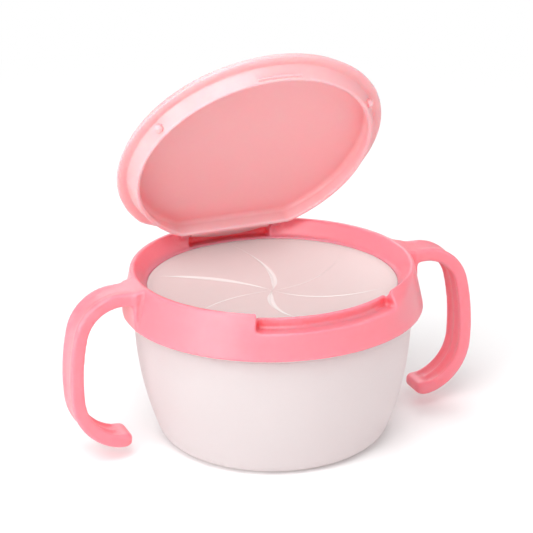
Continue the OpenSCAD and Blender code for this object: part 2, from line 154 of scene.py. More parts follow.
class Solid:
    """A mesh object in millimetres, with the steps that shape it."""

    def __init__(self, piece: bpy.types.Object, name: str) -> None:
        """Takes over an object, and names it and its mesh.

        Args:
            piece: The object.
            name: Its new name.
        """
        self.piece = piece
        self.mesh = piece.data
        piece.name = name
        self.mesh.name = name

    @classmethod
    def active(cls, name: str) -> "Solid":
        """Takes over the active object and moves its place into its mesh.

        Args:
            name: Its new name.

        Returns:
            The solid.
        """
        solid = cls(bpy.context.active_object, name)
        solid.take()
        bpy.ops.object.transform_apply(location=True, rotation=True, scale=True)
        return solid

    @classmethod
    def turned(cls, name: str, profile: Sequence[Point], steps: int, start: float = 0.0,
               angle: float = 360.0) -> "Solid":
        """Spins a profile about the upright axis.

        Args:
            name: Its name.
            profile: Corners as radius and height.
            steps: Number of stretches in the whole turn.
            start: Angle where the turn starts, in degrees.
            angle: Angle that it covers, in degrees.

        Returns:
            The closed solid.
        """
        way = (math.cos(math.radians(start)), math.sin(math.radians(start)))
        cls._draw([(r * way[0], r * way[1], z) for r, z in profile])
        bpy.ops.mesh.spin(steps=max(2, round(steps * angle / 360)), angle=math.radians(angle),
                          center=(0, 0, 0), axis=(0, 0, -1))
        bpy.ops.object.mode_set(mode="OBJECT")
        return cls.active(name).close()

    @classmethod
    def raised(cls, name: str, corners: Sequence[Place], lift: Place,
               merge: float = 0.001) -> "Solid":
        """Extrudes a flat outline into a solid.

        Args:
            name: Its name.
            corners: Corners of the outline, in order round it.
            lift: Direction and length of the extrusion.
            merge: Distance below which the outline's ends become one.

        Returns:
            The closed solid.
        """
        cls._draw([*corners, corners[0]])
        bpy.ops.mesh.remove_doubles(threshold=merge)
        bpy.ops.mesh.edge_face_add()
        bpy.ops.mesh.extrude_region_move(TRANSFORM_OT_translate={"value": lift})
        bpy.ops.object.mode_set(mode="OBJECT")
        return cls.active(name).close()

    @classmethod
    def rod(cls, name: str, radius: float, length: float, middle: Place,
            round_r: float = 0.0, vertices: int = 48) -> "Solid":
        """A round bar that lies along X, with its end edges bevelled.

        Args:
            name: Its name.
            radius: Its radius.
            length: Its length.
            middle: Its middle.
            round_r: Width of the bevel at its ends, or 0 for none.
            vertices: Number of its sides.

        Returns:
            The new solid.
        """
        cls.clear()
        bpy.ops.mesh.primitive_cylinder_add(vertices=vertices, radius=radius, depth=length,
                                            location=middle, rotation=(0, math.pi / 2, 0))
        bar = cls.active(name)
        return bar.bevel(round_r, segments=3, angle=60) if round_r > 0 else bar

    @classmethod
    def wrapped(cls, name: str, around: int, along: int,
                place: Callable[[float, float], Vector]) -> "Solid":
        """Wraps a grid into a shape, one corner at a time.

        Args:
            name: Its name.
            around: Number of faces across the grid.
            along: Number of faces along the grid.
            place: Gives a corner's place from its two shares, each from 0 to 1.

        Returns:
            The closed solid.
        """
        cls.clear()
        bpy.ops.mesh.primitive_grid_add(x_subdivisions=around, y_subdivisions=along, size=2)
        solid = cls.active(name)
        for corner in solid.mesh.vertices:
            across = round((corner.co.x + 1) / 2 * around) / around
            up = round((corner.co.y + 1) / 2 * along) / along
            corner.co = place(across, up)
        return solid.close()

    @staticmethod
    def clear() -> None:
        """Deselects everything."""
        bpy.ops.object.select_all(action="DESELECT")

    @staticmethod
    def _draw(points: Sequence[Place]) -> None:
        """Draws a line point by point, by extruding one corner. Edit mode is left on.

        Args:
            points: The line's corners.
        """
        Solid.clear()
        bpy.ops.mesh.primitive_plane_add(size=1, location=points[0])
        bpy.ops.object.mode_set(mode="EDIT")
        bpy.ops.mesh.select_all(action="SELECT")
        bpy.ops.mesh.merge(type="CENTER")
        for here, there in zip(points, points[1:]):
            step = [b - a for a, b in zip(here, there)]
            bpy.ops.mesh.extrude_region_move(TRANSFORM_OT_translate={"value": step})
        bpy.ops.mesh.select_all(action="SELECT")

    def take(self) -> None:
        """Selects the solid alone and makes it active."""
        Solid.clear()
        self.piece.select_set(True)
        bpy.context.view_layer.objects.active = self.piece

    def close(self, merge: float = 0.005) -> "Solid":
        """Merges doubles, fills what is open and turns all faces outwards.

        Args:
            merge: Distance below which two points become one.

        Returns:
            The same solid.
        """
        self.take()
        bpy.ops.object.mode_set(mode="EDIT")
        bpy.ops.mesh.select_all(action="SELECT")
        bpy.ops.mesh.remove_doubles(threshold=merge)
        bpy.ops.mesh.fill_holes(sides=0)
        bpy.ops.mesh.select_all(action="SELECT")
        bpy.ops.mesh.normals_make_consistent(inside=False)
        bpy.ops.object.mode_set(mode="OBJECT")
        return self

    def apply(self, kind: str, **settings: object) -> "Solid":
        """Adds one modifier with its settings and applies it.

        Args:
            kind: Type of the modifier.
            settings: Values of the modifier's properties.

        Returns:
            The same solid.
        """
        self.take()
        modifier = self.piece.modifiers.new(kind.lower(), kind)
        for key, value in settings.items():
            setattr(modifier, key, value)
        bpy.ops.object.modifier_apply(modifier=modifier.name)
        return self

    def bevel(self, width: float, segments: int, angle: float) -> "Solid":
        """Rounds every edge that is sharper than an angle in degrees."""
        return self.apply("BEVEL", width=width, segments=segments, limit_method="ANGLE",
                          angle_limit=math.radians(angle))

    def smooth(self, rounds: int, group: str = "") -> "Solid":
        """Smooths the corners, all of them or as far as they are in a group."""
        return self.apply("SMOOTH", factor=0.5, iterations=rounds, vertex_group=group)

    def combine(self, how: Boolean, *tools: "Solid") -> None:
        """Joins tools to the solid or cuts it with them, one by one, and uses them up.

        Args:
            how: What the tools do.
            tools: The tools, in order.
        """
        for tool in tools:
            self.apply("BOOLEAN", operation=how.value, object=tool.piece, solver="EXACT")
            bpy.data.objects.remove(tool.piece)

    def copy(self, name: str, matrix: Matrix) -> "Solid":
        """Copies the solid, with a mesh of its own, to another place.

        Args:
            name: Name of the copy.
            matrix: Where it goes. One that mirrors also turns the faces round.

        Returns:
            The copy.
        """
        piece = self.piece.copy()
        piece.data = self.mesh.copy()
        bpy.context.scene.collection.objects.link(piece)
        other = Solid(piece, name)
        other.mesh.transform(matrix)
        if matrix.determinant() < 0:
            other.mesh.flip_normals()
        return other

    def shelter(self, reach: float, rays: int = 40, facing: float = 0.25,
                lift: float = 0.3) -> None:
        """Writes how much space round each corner the solid itself closes off, to paint shade.

        Args:
            reach: Distance beyond which nothing shelters a corner.
            rays: Number of directions spread over the whole sphere.
            facing: Least cosine between a direction that counts and the corner's normal.
            lift: Distance above the surface where the rays start.
        """
        tree = BVHTree.FromPolygons([corner.co for corner in self.mesh.vertices],
                                    [face.vertices for face in self.mesh.polygons])
        golden = math.pi * (3 - math.sqrt(5))
        ways = []
        for k in range(rays):
            up = 1 - (2 * k + 1) / rays
            flat = math.sqrt(1 - up * up)
            ways.append(Vector((flat * math.cos(golden * k), flat * math.sin(golden * k), up)))
        shares = []
        for corner in self.mesh.vertices:
            tried = [way for way in ways if way.dot(corner.normal) > facing]
            start = corner.co + corner.normal * lift
            met = sum(tree.ray_cast(start, way, reach)[0] is not None for way in tried)
            shares.append(met / len(tried))
        self.mesh.attributes.new(PAINTED_SHADE_ATTRIBUTE, "FLOAT", "POINT").data.foreach_set("value", shares)

    def finished(self, sharp: float, *materials: bpy.types.Material) -> bpy.types.Object:
        """Brings the solid down to metres, smooths its shading and dresses it.

        Args:
            sharp: Angle in degrees above which an edge stays sharp.
            materials: Its materials, in order.

        Returns:
            The finished object.
        """
        self.mesh.transform(Matrix.Scale(MM, 4))
        self.take()
        bpy.ops.object.shade_smooth_by_angle(angle=math.radians(sharp))
        Solid.clear()
        for material in materials:
            self.mesh.materials.append(material)
        return self.piece


def _operator(operation: str, swapped: bool = False) -> Callable[["Value", object], "Value"]:
    """Makes a method that adds one Math node.

    Args:
        operation: Operation of the node.
        swapped: Whether its two sides change places, as for a reflected operator.

    Returns:
        The method.
    """
    def method(self: "Value", other: object) -> "Value":
        """Adds the node.

        Args:
            other: The other side, a value or a number.

        Returns:
            The result.
        """
        sides = (other, self) if swapped else (self, other)
        node = self.shader.node("ShaderNodeMath", {"operation": operation},
                                dict(enumerate(sides)))
        return Value(self.shader, node.outputs[0])
    return method


class Value:
    """A shader value. Python's operators on it add Math nodes."""

    def __init__(self, shader: "Shader", socket: bpy.types.NodeSocket) -> None:
        """Keeps the socket and the shader that it belongs to."""
        self.shader = shader
        self.socket = socket

    __add__, __radd__ = _operator("ADD"), _operator("ADD", True)
    __sub__, __rsub__ = _operator("SUBTRACT"), _operator("SUBTRACT", True)
    __mul__, __rmul__ = _operator("MULTIPLY"), _operator("MULTIPLY", True)
    __pow__, __rpow__ = _operator("POWER"), _operator("POWER", True)
    at_most = _operator("MINIMUM")


class Shader:
    """The node tree of a material or of the world."""

    def __init__(self, owner: bpy.types.Material | bpy.types.World) -> None:
        """Empties the owner's node tree.

        Args:
            owner: What the tree belongs to.
        """
        owner.use_nodes = True
        self.owner = owner
        self.tree = owner.node_tree
        self.tree.nodes.clear()

    def node(self, kind: str, settings: dict[str, object] | None = None,
             inputs: dict[str | int, object] | None = None) -> bpy.types.Node:
        """Adds one node.

        Args:
            kind: Type of the node.
            settings: Its properties, which are set first.
            inputs: For its sockets, values or what is linked there: a Value, a socket, or a
                node for its first output.

        Returns:
            The node.
        """
        made = self.tree.nodes.new(kind)
        for key, value in (settings or {}).items():
            setattr(made, key, value)
        for key, value in (inputs or {}).items():
            if isinstance(value, Value):
                value = value.socket
            elif isinstance(value, bpy.types.Node):
                value = value.outputs[0]
            if isinstance(value, bpy.types.NodeSocket):
                self.tree.links.new(value, made.inputs[key])
            else:
                made.inputs[key].default_value = value
        return made

    def places(self) -> bpy.types.NodeSocket:
        """Object coordinates, in metres."""
        return self.node("ShaderNodeTexCoord").outputs["Object"]

    def noise(self, scale: float, detail: float = 2.0, roughness: float = 0.5) -> Value:
        """A noise over the surface.

        Args:
            scale: Number of waves in a metre.
            detail: Number of finer layers.
            roughness: Share of each finer layer.

        Returns:
            The noise, about NOISE_MIDDLE on average.
        """
        node = self.node("ShaderNodeTexNoise", {}, {
            "Vector": self.places(), "Scale": scale, "Detail": detail, "Roughness": roughness})
        return Value(self, node.outputs[0])

    def painted(self, name: str) -> Value:
        """A value that the mesh carries at its corners."""
        node = self.node("ShaderNodeAttribute", {"attribute_name": name})
        return Value(self, node.outputs["Fac"])

    def hit_by(self, *rays: Ray) -> Value:
        """1 for a ray of one of these kinds, and 0 for any other."""
        path = self.node("ShaderNodeLightPath")
        return sum(Value(self, path.outputs[ray.value]) for ray in rays).at_most(1.0)

    def blend(self, share: Value, first: object, second: object) -> bpy.types.NodeSocket:
        """Mixes two colours, whose sockets on the Mix node are number 6 and 7.

        Args:
            share: How much of the second one shows.
            first: Colour or socket.
            second: Colour or socket.

        Returns:
            The mixed colour.
        """
        node = self.node("ShaderNodeMix", {"data_type": "RGBA"}, {0: share, 6: first, 7: second})
        return node.outputs[2]

    def show(self, output: Output, share: object, first: bpy.types.Node,
             second: bpy.types.Node) -> None:
        """Ends the tree in a mix of two surfaces.

        Args:
            output: The node that it ends in.
            share: How much of the second one shows.
            first: The first surface.
            second: The second surface.
        """
        mixed = self.node("ShaderNodeMixShader", {}, {0: share, 1: first, 2: second})
        self.node(output.value, {}, {"Surface": mixed})


def linear(colour: Colour) -> tuple[float, float, float, float]:
    """Turns a colour into the shader's linear values.

    Args:
        colour: The colour as written on a screen, from 0 to 255.

    Returns:
        Its linear channels and an alpha of 1.
    """
    def one(channel: int) -> float:
        """One channel."""
        share = channel / 255
        return share / 12.92 if share <= 0.04045 else ((share + 0.055) / 1.055) ** 2.4
    return (*map(one, colour), 1.0)


@dataclass(frozen=True)
class MouldedPlastic:
    """A smooth moulded plastic that lets some light through, with painted shade: a deeper colour
    painted into its recesses.
    """

    name: str
    light: Colour
    dark: Colour
    through: Colour
    through_share: float
    roughness: float
    roughness_swing: float
    spread: float = 0.0
    spread_reach: Triple = (1.0, 0.2, 0.25)
    spread_mm: float = 6.0
    flow_scale: float = 45.0
    flow_rough: float = 0.55
    skin_scale: float = 900.0
    skin_rough: float = 0.6
    skin_depth_mm: float = 0.03
    skin_strength: float = 0.12
    noise_layers: float = 3.0
    specular: float = 0.5
    coat: float = 0.0
    coat_roughness: float = 0.3
    # Painted shade: the colour painted into recesses through the shelter mask, with how strongly
    # and how sharply it shows
    painted_shade: Colour | None = None
    painted_shade_share: float = 1.0
    painted_shade_power: float = 1.5

    def material(self) -> bpy.types.Material:
        """Builds the material.

        Returns:
            The material.
        """
        shader = Shader(bpy.data.materials.new(self.name))
        flow = shader.noise(self.flow_scale, self.noise_layers, self.flow_rough)
        skin = shader.noise(self.skin_scale, self.noise_layers, self.skin_rough)
        roughness = self.roughness + (flow - NOISE_MIDDLE) * self.roughness_swing \
            + (skin - NOISE_MIDDLE) * self.roughness_swing
        colour = shader.blend(flow, linear(self.light), linear(self.dark))
        # Painted shade: the base colour turns towards a deep shade colour where the shelter mask
        # says the corner lies in a recess
        if self.painted_shade:
            painted_shade_mask = shader.painted(PAINTED_SHADE_ATTRIBUTE) ** self.painted_shade_power * self.painted_shade_share
            colour = shader.blend(painted_shade_mask.at_most(1.0), colour, linear(self.painted_shade))
        bump = shader.node("ShaderNodeBump", {}, {
            "Strength": self.skin_strength, "Distance": self.skin_depth_mm * MM, "Height": skin})
        body = shader.node("ShaderNodeBsdfPrincipled", {}, {
            "Base Color": colour,
            "Roughness": roughness,
            "Coat Weight": self.coat,
            "Coat Roughness": self.coat_roughness,
            "Specular IOR Level": self.specular,
            "Subsurface Weight": self.spread,
            "Subsurface Radius": self.spread_reach,
            "Subsurface Scale": self.spread_mm * MM,
            "Normal": bump,
        })
        through = shader.node("ShaderNodeBsdfTranslucent", {}, {"Color": linear(self.through)})
        shader.show(Output.MATERIAL, self.through_share, body, through)
        return shader.owner


# PINK and LID_PINK paint shade into their recesses: a deep red on the collar and a deeper pink on
# the lid
PINK = MouldedPlastic("pink_plastic", (253, 144, 157), (252, 137, 150), (255, 118, 126),
                      through_share=0.1, roughness=0.36, roughness_swing=0.06, spread=1.0,
                      coat=0.35, painted_shade=(248, 20, 40), painted_shade_share=1.9, painted_shade_power=1.8)
LID_PINK = MouldedPlastic("lid_plastic", (244, 196, 199), (243, 190, 194), (255, 150, 156),
                          through_share=0.15, roughness=0.4, roughness_swing=0.06, spread=1.0,
                          coat=0.3, painted_shade=(240, 112, 116), painted_shade_share=0.7, painted_shade_power=2.0)
FROSTED = MouldedPlastic("frosted_bowl", (246, 245, 246), (244, 242, 243), (252, 248, 248),
                         through_share=0.62, roughness=0.42, roughness_swing=0.08, spread=1.0,
                         spread_reach=(1.0, 0.95, 0.95), spread_mm=12.0,
                         skin_scale=1500.0, skin_strength=0.2)
MILKY = MouldedPlastic("milky_membrane", (234, 228, 226), (231, 223, 222), (248, 238, 236),
                       through_share=0.35, roughness=0.5, roughness_swing=0.08,
                       skin_scale=1200.0)
# Painted light: near white on the slit sides, where the slits show bright
SLIT_PAINTED_LIGHT = MouldedPlastic("slit_painted_light", (250, 252, 251), (248, 251, 249), (250, 252, 250),
                          through_share=0.35, roughness=0.6, roughness_swing=0.05)


@dataclass
class Thread:
    """The screw thread's helical ribs."""

    lead: float = 8.0
    starts: int = 2
    sweep: float = 155.0
    height: float = 1.5
    crest_share: float = 0.55
    fade: float = 20.0
    stub: float = 0.15
    steps: int = 60

    def ribs(self, name: str, root_r: float, crest_r: float, low_z: float) -> list[Solid]:
        """The ribs on one wall, which rise out of it over the angle of their fade.

        Args:
            name: Name for the solids.
            root_r: Radius where a rib leaves its wall.
            crest_r: Radius of its crest.
            low_z: Height of the middle of its lower end.

        Returns:
            One solid for each start.
        """
        half = self.height / 2
        crest = half * self.crest_share
        section = [(root_r, -half), (crest_r, -crest), (crest_r, crest), (root_r, half)]
        sides = len(section)

        def place(across: float, along: float) -> Vector:
            """Places a corner of the rib.

            Args:
                across: Share of the way round its section.
                along: Share of the way along it.

            Returns:
                Its place.
            """
            r, z = section[round(across * sides) % sides]
            angle = self.sweep * along
            reach = smoothstep(min(angle, self.sweep - angle) / self.fade + self.stub)
            r = root_r + (r - root_r) * reach
            turn = math.radians(angle)
            return Vector((r * math.cos(turn), r * math.sin(turn),
                           low_z + z + self.lead * angle / 360))

        first = Solid.wrapped(name, sides, self.steps, place)
        return [first, *(first.copy(f"{name}_{k}",
                                    Matrix.Rotation(FULL_TURN * k / self.starts, 4, "Z"))
                         for k in range(1, self.starts))]


@dataclass(frozen=True)
class Hinge:
    """The sizes that the collar and the lid share where the lid hangs."""

    bore_r: float = 52.4
    pocket_w: float = 34.4
    ear_r: float = 2.6
    ear_w: float = 4.2
    pin_l: float = 3.4
    lap: float = 0.4

    @property
    def middle(self) -> Vector:
        """The middle of the hinge's axis."""
        return in_mm(joint_of("lid_hinge")["pos_m"])

    def bars(self, name: str, radius: float, between: float, length: float,
             lap: float = 0.0, round_r: float = 0.0) -> list[Solid]:
        """Two bars on the axis, one to each side.

        Args:
            name: Name for both.
            radius: Radius of a bar.
            between: Distance between the two.
            length: Length of a bar beyond that.
            lap: Length added on both its ends together.
            round_r: Width of the bevel at its ends.

        Returns:
            The two bars.
        """
        _, y, z = self.middle
        return [Solid.rod(name, radius, length + lap,
                          (side.value * (between + length) / 2, y, z), round_r) for side in Side]


@dataclass
class Bowl:
    """The frosted bowl with its shoulder ring, neck and thread."""

    height: float = 59.2
    wall_r: float = 53.0
    wall_arc_r: float = 123.0
    base_round_r: float = 8.0
    wall: float = 1.6
    shoulder_z: float = 51.3
    shoulder_h: float = 2.0
    shoulder_out: float = 1.0
    shoulder_foot: float = 0.3
    neck_r: float = 50.4
    thread_out: float = 1.3
    thread_sink: float = 0.4
    thread_z: float = 54.5
    foot_r: float = 27.0
    foot_w: float = 2.5
    foot_rise: float = 0.5
    edge_r: float = 0.35
    sharp: float = 35
    base_steps: int = 10
    wall_steps: int = 22
    edge_steps: int = 4
    steps: int = 256
    thread: Thread = field(default_factory=Thread)

    def wall_line(self, inwards: float) -> list[Point]:
        """The wall from the base up.

        Args:
            inwards: How far inside the outer face the line runs.

        Returns:
            Points as radius and height.
        """
        middle = (self.wall_r - self.wall_arc_r, self.shoulder_z - self.shoulder_h)
        reach = self.wall_arc_r - self.base_round_r
        end = math.degrees(math.asin((middle[1] - self.base_round_r) / reach))
        base = (middle[0] + reach * math.cos(math.radians(end)), self.base_round_r)
        return [*arc(base, self.base_round_r - inwards, -90, -end, self.base_steps),
                *arc(middle, self.wall_arc_r - inwards, -end, 0, self.wall_steps)[1:]]

    def profile(self) -> list[Point]:
        """The whole section from the middle of the base round to the inside.

        Returns:
            Points as radius and height.
        """
        low, edge, rim = self.shoulder_z - self.shoulder_h, self.edge_r, self.wall / 2
        edge_x = self.wall_r + self.shoulder_out - edge
        return [(0, self.foot_rise), (self.foot_r - self.foot_w, self.foot_rise),
                (self.foot_r, 0), *self.wall_line(0), (edge_x, low + self.shoulder_out / 2),
                *arc((edge_x, low + 2 * edge + self.shoulder_foot), edge, -60, 0,
                     self.edge_steps - 1),
                *arc((edge_x, self.shoulder_z - edge), edge, 0, 90, self.edge_steps),
                (self.neck_r, self.shoulder_z), (self.neck_r, self.height - rim),
                *arc((self.neck_r - rim, self.height - rim), rim, 0, 180, 2 * self.edge_steps),
                (self.neck_r - self.wall, self.shoulder_z - rim),
                *reversed(self.wall_line(self.wall)), (0, self.wall + self.foot_rise)]

    def build(self) -> list[bpy.types.Object]:
        """Builds and dresses the bowl.

        Returns:
            The bowl.
        """
        bowl = Solid.turned("bowl_shell", self.profile(), self.steps)
        bowl.combine(Boolean.JOIN, *self.thread.ribs(
            "bowl_thread", self.neck_r - self.thread_sink, self.neck_r + self.thread_out,
            self.thread_z))
        shell = bowl.finished(self.sharp, FROSTED.material())
        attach(shell, "bowl")
        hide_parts("bowl")
        return [shell]


@dataclass
class Handle:
    """One hook-shaped handle strap, on the +X side."""

    root_x: float = 57.9
    root_z: float = 64.5
    root_sink: float = 3.2
    width: float = 13.0
    thickness: float = 5.3
    edge_r: float = 1.3
    edge_steps: int = 5
    hollow: float = 0.75
    groove: float = 1.3
    rail: float = 1.6
    rib: float = 1.0
    slope: float = 0.7
    slope_dip: float = 0.5
    foot_dip: float = 0.85
    rib_side_dip: float = 0.25
    rib_top_dip: float = 0.15
    flare: float = 1.5
    flare_l: float = 5.0
    tip_scale: Pair = (0.62, 0.3)
    tip_l: float = 3.4
    rings: int = 120

    # Share of the way out to the rail, and share of the hollow's depth there
    hollow_form: tuple[Pair, ...] = ((0.88, 0.12), (0.72, 0.55), (0.5, 0.9), (0.25, 1.0))
    # Length, radius and turn in degrees of each stretch from the root on
    path: tuple[Triple, ...] = (
        (3.9, 0.0, 0.0), (0.0, 16.5, 77.0), (0.0, 85.0, 17.5), (0.0, 20.0, 64.5),
        (0.0, 12.0, 22.0), (3.4, 0.0, 0.0))
    # Number of the stretch over which the hollow runs out
    fading: int = 4

    def section(self, grow: Pair, hollow: float) -> list[Point]:
        """The strap's outline at one place.

        Args:
            grow: Share of its full width and thickness.
            hollow: How deep its hollow and grooves are, from 0 to 1.

        Returns:
            Points as distance across and outwards.
        """
        w, t, e, n = self.width / 2, self.thickness / 2, self.edge_r, self.edge_steps
        rail, rib, s = w - self.rail, self.rib / 2, self.slope
        d, g = self.hollow * hollow, self.groove * hollow
        outer = [(rail * share, t - d * dip) for share, dip in self.hollow_form]
        inner = [(x, g * dip - t) for x, dip in (
            (rail, 0.0), (rail - s / 2, self.slope_dip), (rail - s, self.foot_dip),
            ((rail + rib) / 2, 1.0), (rib + s, self.foot_dip), (rib + s / 2, self.slope_dip),
            (rib, self.rib_side_dip))]
        points = [*arc((w - e, t - e), e, 0, 90, n), *outer, (0, t - d),
                  *[(-x, y) for x, y in reversed(outer)],
                  *arc((e - w, t - e), e, 90, 180, n), *arc((e - w, e - t), e, 180, 270, n),
                  *[(-x, y) for x, y in inner], (0, g * self.rib_top_dip - t),
                  *reversed(inner), *arc((w - e, e - t), e, 270, 360, n)]
        return [(x * grow[0], y * grow[1]) for x, y in points]

    def lengths(self) -> list[float]:
        """Length of each stretch of the path."""
        return [straight + radius * math.radians(turn) for straight, radius, turn in self.path]

    def place_at(self, run: float) -> Triple:
        """Where the middle of the strap is after going some way along the path.

        Args:
            run: Length from the root, or less than 0 inside the collar's wall.

        Returns:
            Its x, z and heading.
        """
        x, z, heading = self.root_x, self.root_z, 0.0
        if run < 0:
            return x + run, z, heading
        for (straight, radius, turn), length in zip(self.path, self.lengths()):
            share = min(1.0, run / length)
            if radius == 0:
                x += straight * share * math.cos(heading)
                z += straight * share * math.sin(heading)
            else:
                after = heading - math.radians(turn) * share
                x += radius * (math.sin(heading) - math.sin(after))
                z -= radius * (math.cos(heading) - math.cos(after))
                heading = after
            run -= length * share
            if share < 1:
                break
        return x, z, heading

    def build(self, name: str) -> Solid:
        """Builds the strap, from inside the collar's wall to its rounded tip.

        Args:
            name: Its name.

        Returns:
            The new solid.
        """
        lengths = self.lengths()
        total = sum(lengths)
        scooped = sum(lengths[:self.fading])
        count = len(self.section((1.0, 1.0), 1.0))

        def place(across: float, along: float) -> Vector:
            """Places a corner of the strap.

            Args:
                across: Share of the way round its section.
                along: Share of the way along it.

            Returns:
                Its place.
            """
            run = -self.root_sink + (total + self.root_sink) * along
            tip = max(0.0, run - (total - self.tip_l)) / self.tip_l
            squeeze = math.sqrt(max(0.0, 1 - tip * tip))
            grow = tuple(s + (1 - s) * squeeze for s in self.tip_scale)
            hollow = smoothstep(run / lengths[0]) \
                * (1 - smoothstep((run - scooped) / lengths[self.fading]))
            wide = 1 + self.flare / self.width * (1 - smoothstep(run / self.flare_l))
            x, y = self.section((grow[0] * wide, grow[1]), hollow)[round(across * count) % count]
            px, pz, heading = self.place_at(run)
            return Vector((px - y * math.sin(heading), x, pz + y * math.cos(heading)))

        return Solid.wrapped(name, count, self.rings, place)


@dataclass
class Collar:
    """The screw-on collar with its well, front notch, hinge block, pads and handles."""

    low_z: float = 51.6
    rim_z: float = 68.5
    outer_r: float = 57.5
    rim_r: float = 54.1
    rim_w: float = 2.2
    rim_round: float = 0.8
    ledge_z: float = 62.1
    ledge_t: float = 1.5
    well_foot_r: float = 48.8
    ledge_r: float = 47.6
    foot_round: float = 0.5
    foot_steps: int = 4
    rim_steps: int = 6
    curve_steps: int = 40
    thread_crest_r: float = 51.0
    thread_z: float = 52.7
    notch_angle: float = 62.0
    notch_turn: float = 3.0
    notch_lap: float = 0.4
    shelf_drop: float = 0.3
    shelf_lap: float = 0.3
    shelf_inset: float = 0.05
    shelf_over: float = 0.02
    shelf_spare: float = 4.0
    low_wall_h: float = 3.7
    low_wall_r: float = 48.6
    low_wall_t: float = 1.3
    low_wall_spare: float = 1.0
    low_wall_inset: float = 0.1
    rear_face_y: float = 45.5
    block_z: float = 61.6
    block_lap: float = 0.3
    ear_round: float = 0.4
    socket_r: float = 1.5
    pad_x: float = 57.9
    pad_w: float = 16.0
    pad_slope_h: float = 7.0
    pad_round: float = 0.91
    pad_top_drop: float = 0.5
    pad_face_drop: float = 1.2
    pad_lap: float = 0.6
    pad_foot: float = 0.2
    scallop_angle: float = 27.0
    scallop_depth: float = 1.1
    scallop_before: float = 0.05
    scallop_rise: float = 1.3
    scallop_end: float = 2.5
    scallop_skin: float = 1.2
    root_drop: float = 4.5
    root_full_r: float = 2.75
    root_fade_r: float = 4.95
    root_flatten: float = 0.62
    root_rounds: int = 26
    root_least: float = 0.01
    first_rounds: int = 3
    last_rounds: int = 2
    lap: float = 0.4
    past: float = 6.0
    voxel: float = 0.57
    merge: float = 0.02
    sharp: float = 60
    shelter_reach: float = 9.0
    steps: int = 240
    hinge: Hinge = field(default_factory=Hinge)
    thread: Thread = field(default_factory=Thread)
    handle: Handle = field(default_factory=Handle)

    @property
    def well_r(self) -> float:
        """Radius of the well at the rim."""
        return self.rim_r - self.rim_w

    @property
    def shelf_z(self) -> float:
        """Height of the shelf in the notch."""
        return self.ledge_z - self.shelf_drop

    @property
    def ledge_under_z(self) -> float:
        """Height of the underside of the ledge."""
        return self.ledge_z - self.ledge_t

    def profile(self) -> list[Point]:
        """The ring's section: outer wall, rounded rim, well, ledge and bore.

        Returns:
            Points as radius and height.
        """
        rr, foot = self.rim_round, self.foot_round
        return [*arc((self.outer_r - foot, self.low_z + foot), foot, -90, 0, self.foot_steps),
                *arc((self.rim_r - rr, self.rim_z - rr), rr, 0, 90, self.rim_steps),
                *arc((self.well_r + rr, self.rim_z - rr), rr, 90, 180, self.rim_steps),
                (self.well_foot_r, self.ledge_z), (self.ledge_r, self.ledge_z),
                (self.ledge_r, self.ledge_under_z), (self.hinge.bore_r, self.ledge_under_z),
                (self.hinge.bore_r, self.low_z), (self.outer_r - foot, self.low_z)]

    def sector(self, name: str, low: Point, high: Point, angle: float) -> Solid:
        """Part of a ring, centred on the notch.

        Args:
            name: Its name.
            low: Inner radius and lower height.
            high: Outer radius and upper height.
            angle: Angle that it covers, in degrees.

        Returns:
            The new solid.
        """
        section = [low, (high[0], low[1]), high, (low[0], high[1]), low]
        return Solid.turned(name, section, self.steps, self.notch_turn - 90 - angle / 2, angle)

    def behind(self, name: str, radius: float, front_y: float, half_w: float, low_z: float,
               high_z: float) -> Solid:
        """A block behind a straight front face and inside a round wall.

        Args:
            name: Its name.
            radius: Radius of the round wall.
            front_y: Place of the front face.
            half_w: Half of its width at most.
            low_z: Height of its underside.
            high_z: Height of its top.

        Returns:
            The new solid.
        """
        half = min(half_w, math.sqrt(radius ** 2 - front_y ** 2))
        side = math.degrees(math.acos(half / radius))
        curve = arc((0, 0), radius, side, 180 - side, self.curve_steps)
        corners = [(half, front_y), *curve, (-half, front_y)] if half == half_w else curve
        return Solid.raised(name, [(x, y, low_z) for x, y in corners], (0, 0, high_z - low_z))

    def pad(self) -> Solid:
        """The raised pad that the right handle grows from.

        Returns:
            The new solid.
        """
        inner, foot_z = self.hinge.bore_r + self.pad_lap, self.low_z + self.pad_foot
        corners = [(inner, foot_z), (self.outer_r - self.pad_foot, foot_z),
                   (self.pad_x, self.low_z + self.pad_slope_h),
                   (self.pad_x, self.rim_z - self.pad_face_drop),
                   (self.rim_r, self.rim_z - self.pad_top_drop),
                   (inner, self.rim_z - self.pad_top_drop)]
        block = Solid.raised("pad", [(x, -self.pad_w / 2, z) for x, z in corners],
                             (0, self.pad_w, 0))
        return block.bevel(self.pad_round, segments=4, angle=30)

    def blank(self) -> Solid:
        """The ring with its notch, hinge block, pocket, ears and pads, still sharp.

        Returns:
            The new solid.
        """
        hinge = self.hinge
        ring = Solid.turned("collar_moulding", self.profile(), self.steps)
        pad = self.pad()
        ring.combine(
            Boolean.JOIN,
            self.behind("hinge_block", hinge.bore_r + self.block_lap, self.rear_face_y,
                        self.outer_r, self.block_z, self.rim_z),
            self.sector("shelf", (self.well_foot_r - self.shelf_lap,
                                  self.ledge_under_z + self.shelf_inset),
                        (hinge.bore_r + self.lap, self.shelf_z + self.shelf_over),
                        self.notch_angle + self.shelf_spare),
            pad, pad.copy("left_pad", MIRROR),
            *hinge.bars("ear", hinge.ear_r, hinge.pocket_w, hinge.ear_w, 0.0, self.ear_round))
        ring.combine(
            Boolean.CUT,
            self.sector("notch", (self.well_foot_r + self.notch_lap, self.shelf_z),
                        (self.outer_r + self.past, self.rim_z + self.past), self.notch_angle),
            self.behind("pocket", hinge.bore_r, self.rear_face_y - hinge.ear_r,
                        hinge.pocket_w / 2, self.ledge_z, self.rim_z + self.past),
            *hinge.bars("socket", self.socket_r, hinge.pocket_w, hinge.pin_l, hinge.lap))
        return ring

